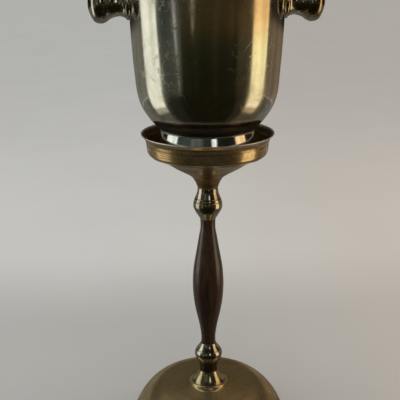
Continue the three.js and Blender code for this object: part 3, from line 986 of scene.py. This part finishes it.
def card(name, sweep, distance, heights, stops, lean=0.0):
    """A curved studio card that only polished surfaces see. sweep is (from, to) in degrees from
    straight ahead of the object, positive to its right; lean turns the top edge further round. An
    upright card has stops up its height; one that lies flat has one colour, one height and two
    distances."""
    flat = isinstance(distance, tuple)
    near, far = distance if flat else (distance, distance)
    low, high = (heights, heights) if flat else heights
    steps = 30
    shape = bmesh.new()
    edges = []
    for step in range(steps + 1):
        angle = math.radians(sweep[0] + (sweep[1] - sweep[0]) * step / steps)
        over = angle + math.radians(lean)
        foot = shape.verts.new((near * math.sin(angle), -near * math.cos(angle), low))
        head = shape.verts.new((far * math.sin(over), -far * math.cos(over), high))
        edges.append((foot, head))
    for first, second in zip(edges, edges[1:]):
        shape.faces.new((first[0], second[0], second[1], first[1]))
    made = finished(name, shape, smooth=False)
    stops = stops if isinstance(stops, list) else [(low, stops)]
    made.data.materials.append(glow(name, stops, (low, max(high, low + 0.01))))
    made.visible_camera = False
    made.visible_diffuse = False
    made.visible_transmission = False
    made.visible_shadow = False


def lamp(name, kind, energy, colour, spot, size):
    """A light that shades the scene but isn't mirrored in the polished metal. size is a sun's
    spread in degrees or an area lamp's side in metres."""
    data = bpy.data.lights.new(name, kind)
    data.energy = energy
    data.color = colour
    if kind == "SUN":
        data.angle = math.radians(size)
    else:
        data.size = size
    made = bpy.data.objects.new(name, data)
    bpy.context.scene.collection.objects.link(made)
    made.location = spot
    aim = Vector((0, 0, 0.35)) - Vector(spot)
    made.rotation_euler = aim.to_track_quat("-Z", "Y").to_euler()
    made.visible_glossy = False
    made.visible_camera = False


FLOOR_RADIUS = 30


def sweep_floor():
    """Wide pale studio floor: painted shade greys it round the stand, it is lighter behind it, and painted
    warm light warms it to its right.
    """
    shader = Shader("studio_floor")
    mottle = shader.noise(2.2, 4.0, 0.6)
    x, y, _ = shader.place()
    # Painted shade: the floor is greyer round the stand and lighter from 0.3 to 0.75 m behind it.
    behind = shader.range(y, 0.30, 0.75)
    near = shader.mix(mottle, (0.43, 0.43, 0.415), (0.50, 0.50, 0.485))
    far = shader.mix(mottle, (0.62, 0.62, 0.605), (0.70, 0.70, 0.685))
    pale = shader.mix(behind, near, far)
    # Painted warm light: the floor turns warmer towards the right.
    painted_warm_light = shader.range(x, -0.15, 0.55, 0.0, 0.45)
    shader.set(Base_Color=shader.mix(painted_warm_light, pale, (0.58, 0.51, 0.44)), Roughness=0.9)
    shape = bmesh.new()
    bmesh.ops.create_circle(shape, cap_ends=True, segments=96, radius=FLOOR_RADIUS)
    ground = finished("studio_floor", shape, smooth=False)
    ground.data.materials.append(shader.material)


def backdrop():
    """Pale surroundings above the floor's edge, seen by the camera only."""
    shader = Shader("backdrop")
    colour = shader.mix(shader.noise(0.04, 2.0), (0.44, 0.44, 0.43), (0.52, 0.52, 0.51))
    shader.set(Base_Color=(0, 0, 0, 1), Roughness=1.0, Emission_Color=colour, Emission_Strength=1.0)
    shape = bmesh.new()
    bmesh.ops.create_uvsphere(shape, u_segments=48, v_segments=24, radius=FLOOR_RADIUS + 1)
    bmesh.ops.reverse_faces(shape, faces=shape.faces)
    dome = finished("backdrop", shape)
    dome.data.materials.append(shader.material)
    dome.visible_diffuse = False
    dome.visible_glossy = False
    dome.visible_transmission = False
    dome.visible_shadow = False


def world():
    """Dim light from everywhere, so that no hollow is quite black."""
    surroundings = bpy.data.worlds.new("surroundings")
    surroundings.use_nodes = True
    sky = surroundings.node_tree.nodes["Background"]
    sky.inputs["Color"].default_value = (0.80, 0.79, 0.76, 1)
    sky.inputs["Strength"].default_value = 0.14
    bpy.context.scene.world = surroundings


# The room round the stand, as mirrored in its metal: (height in metres, colour) from the floor up.
BLACK_BROWN = (0.010, 0.009, 0.004)
FRONT_LEFT = [(0.0, (0.010, 0.011, 0.005)), (0.28, (0.014, 0.015, 0.007)), (0.50, (0.045, 0.035, 0.014)),
              (0.72, (0.050, 0.048, 0.036)), (0.84, (0.085, 0.095, 0.080)), (1.15, (0.085, 0.095, 0.080)),
              (1.30, BLACK_BROWN), (2.4, BLACK_BROWN)]
FRONT_MIDDLE = [(0.0, (0.010, 0.011, 0.005)), (0.28, (0.014, 0.015, 0.007)), (0.50, (0.045, 0.035, 0.014)),
                (0.68, (0.025, 0.026, 0.015)), (1.30, (0.022, 0.024, 0.014)), (2.4, BLACK_BROWN)]
FRONT_RIGHT = [(0.0, (0.010, 0.009, 0.005)), (0.28, (0.015, 0.014, 0.007)), (0.50, (0.055, 0.036, 0.014)),
               (0.68, (0.012, 0.012, 0.008)), (1.30, (0.010, 0.010, 0.007)), (2.4, BLACK_BROWN)]
BROWN_RIGHT = [(0.0, (0.025, 0.021, 0.013)), (0.28, (0.048, 0.041, 0.024)), (0.50, (0.085, 0.056, 0.023)),
               (0.66, (0.012, 0.011, 0.008)), (1.30, (0.012, 0.011, 0.008)), (2.4, BLACK_BROWN)]
GREY_LEFT = [(0.0, (0.060, 0.064, 0.052)), (0.28, (0.075, 0.080, 0.066)), (0.50, (0.050, 0.058, 0.050)),
             (2.4, (0.030, 0.034, 0.030))]
BACK_LEFT = [(0.0, (0.17, 0.175, 0.155)), (0.44, (0.16, 0.155, 0.13)), (0.50, (0.015, 0.015, 0.012)),
             (1.10, (0.015, 0.015, 0.012)), (1.40, (0.12, 0.11, 0.09)), (2.4, (0.12, 0.11, 0.09))]
BACK_RIGHT = [(0.0, (0.20, 0.16, 0.12)), (0.44, (0.17, 0.125, 0.08)), (0.50, (0.016, 0.012, 0.009)),
              (1.10, (0.016, 0.012, 0.009)), (1.40, (0.14, 0.10, 0.06)), (2.4, (0.14, 0.10, 0.06))]
WINDOW_LEFT = [(0.0, (1.06, 1.05, 0.94)), (0.35, (1.10, 1.13, 1.04)), (1.5, (1.06, 1.16, 1.16))]
WINDOW_RIGHT = [(0.0, (1.15, 0.95, 0.66)), (0.30, (1.18, 1.02, 0.62)), (0.44, (1.20, 1.04, 0.54)),
                (0.56, (1.16, 0.72, 0.30)), (0.75, (0.90, 0.70, 0.50)), (1.5, (0.90, 0.72, 0.54))]
WHITE = (BRIGHTEST, BRIGHTEST, BRIGHTEST)
DOOR_EDGE = [(0.05, (0.30, 0.26, 0.17)), (0.62, WHITE)]
TALL_LAMP = [(0.42, (0.62, 0.52, 0.33)), (0.75, WHITE)]
FRONT_LAMP = [(0.78, (1.05, 1.02, 0.95)), (1.28, WHITE)]

ROOM_RADIUS = 1.5  # distance of the room's walls
BACK_RADIUS = 1.55
CEILING = 2.4
WINDOW_RADIUS = 0.86
FLOOR_TO_CEILING = (0.0, CEILING)
BASE_EDGE = 0.127  # cards on the floor start just outside the base
FLOOR_CARD = (BASE_EDGE, ROOM_RADIUS)
ON_FLOOR = 0.004
LEFT_WINDOW = (-110, -78)
RIGHT_WINDOW = (63, 92)
WINDOW_POOL = (0.62, WINDOW_RADIUS)  # daylight on the floor under a window


def room():
    """Walls, ceiling and floor of the mirrored room."""
    card("front_left", (-42, -14), ROOM_RADIUS, FLOOR_TO_CEILING, FRONT_LEFT)
    card("front_middle", (-14, 0), ROOM_RADIUS, FLOOR_TO_CEILING, FRONT_MIDDLE)
    card("front_right", (0, 40), ROOM_RADIUS, FLOOR_TO_CEILING, FRONT_RIGHT)
    card("brown_right", (40, 66), ROOM_RADIUS, FLOOR_TO_CEILING, BROWN_RIGHT)
    card("grey_left", (-82, -42), ROOM_RADIUS, FLOOR_TO_CEILING, GREY_LEFT)
    card("back_left", (-180, -82), BACK_RADIUS, FLOOR_TO_CEILING, BACK_LEFT)
    card("back_right", (66, 180), BACK_RADIUS, FLOOR_TO_CEILING, BACK_RIGHT)
    card("ceiling_front", (-82, 82), (0.0, ROOM_RADIUS), CEILING, BLACK_BROWN)
    card("ceiling_light", (90, 270), (0.0, 1.2), CEILING, (0.95, 0.93, 0.88))
    card("floor_front", (-45, 42), FLOOR_CARD, ON_FLOOR, BLACK_BROWN)
    card("floor_front_left", (-78, -45), FLOOR_CARD, ON_FLOOR, (0.018, 0.019, 0.014))
    card("floor_left", (-125, -78), FLOOR_CARD, ON_FLOOR, (0.095, 0.100, 0.085))
    card("floor_front_right", (42, 62), FLOOR_CARD, ON_FLOOR, (0.028, 0.022, 0.014))
    card("floor_right", (62, 115), FLOOR_CARD, ON_FLOOR, (0.100, 0.080, 0.055))
    card("floor_back", (115, 235), FLOOR_CARD, ON_FLOOR, (0.15, 0.145, 0.13))


def bright_places():
    """Windows, their light on the floor, and the narrow bright things in the mirrored room."""
    card("window_left", LEFT_WINDOW, WINDOW_RADIUS, (0.0, 1.5), WINDOW_LEFT)
    card("window_right", RIGHT_WINDOW, WINDOW_RADIUS, (0.0, 1.5), WINDOW_RIGHT)
    card("pool_left", LEFT_WINDOW, WINDOW_POOL, ON_FLOOR + 0.002, (0.48, 0.45, 0.38))
    card("pool_right", RIGHT_WINDOW, WINDOW_POOL, ON_FLOOR + 0.002, (0.60, 0.44, 0.28))
    card("door_edge", (-46.8, -45.4), 1.48, (0.05, 0.62), DOOR_EDGE, lean=-6.5)
    card("tall_lamp", (-25.8, -23.8), 1.48, (0.42, 0.75), TALL_LAMP)
    card("front_lamp", (6, 17), 1.46, (0.78, 1.28), FRONT_LAMP)


def lamps():
    """The soft light that shades the wood, the tarnish and the floor."""
    lamp("sky", "SUN", 1.9, (1.0, 0.995, 0.98), (0.0, 0.7, 3.0), 70)
    lamp("fill_front", "AREA", 6, (1.0, 0.96, 0.90), (-0.5, -2.1, 1.1), 1.4)
    lamp("fill_left", "AREA", 10, (0.88, 0.95, 1.0), (-2.2, 0.3, 1.0), 1.4)
    lamp("fill_right", "AREA", 13, (1.0, 0.80, 0.60), (2.2, 0.3, 1.0), 1.4)


camera()
world()
sweep_floor()
backdrop()
room()
bright_places()
lamps()
bpy.context.scene.view_settings.view_transform = "Standard"
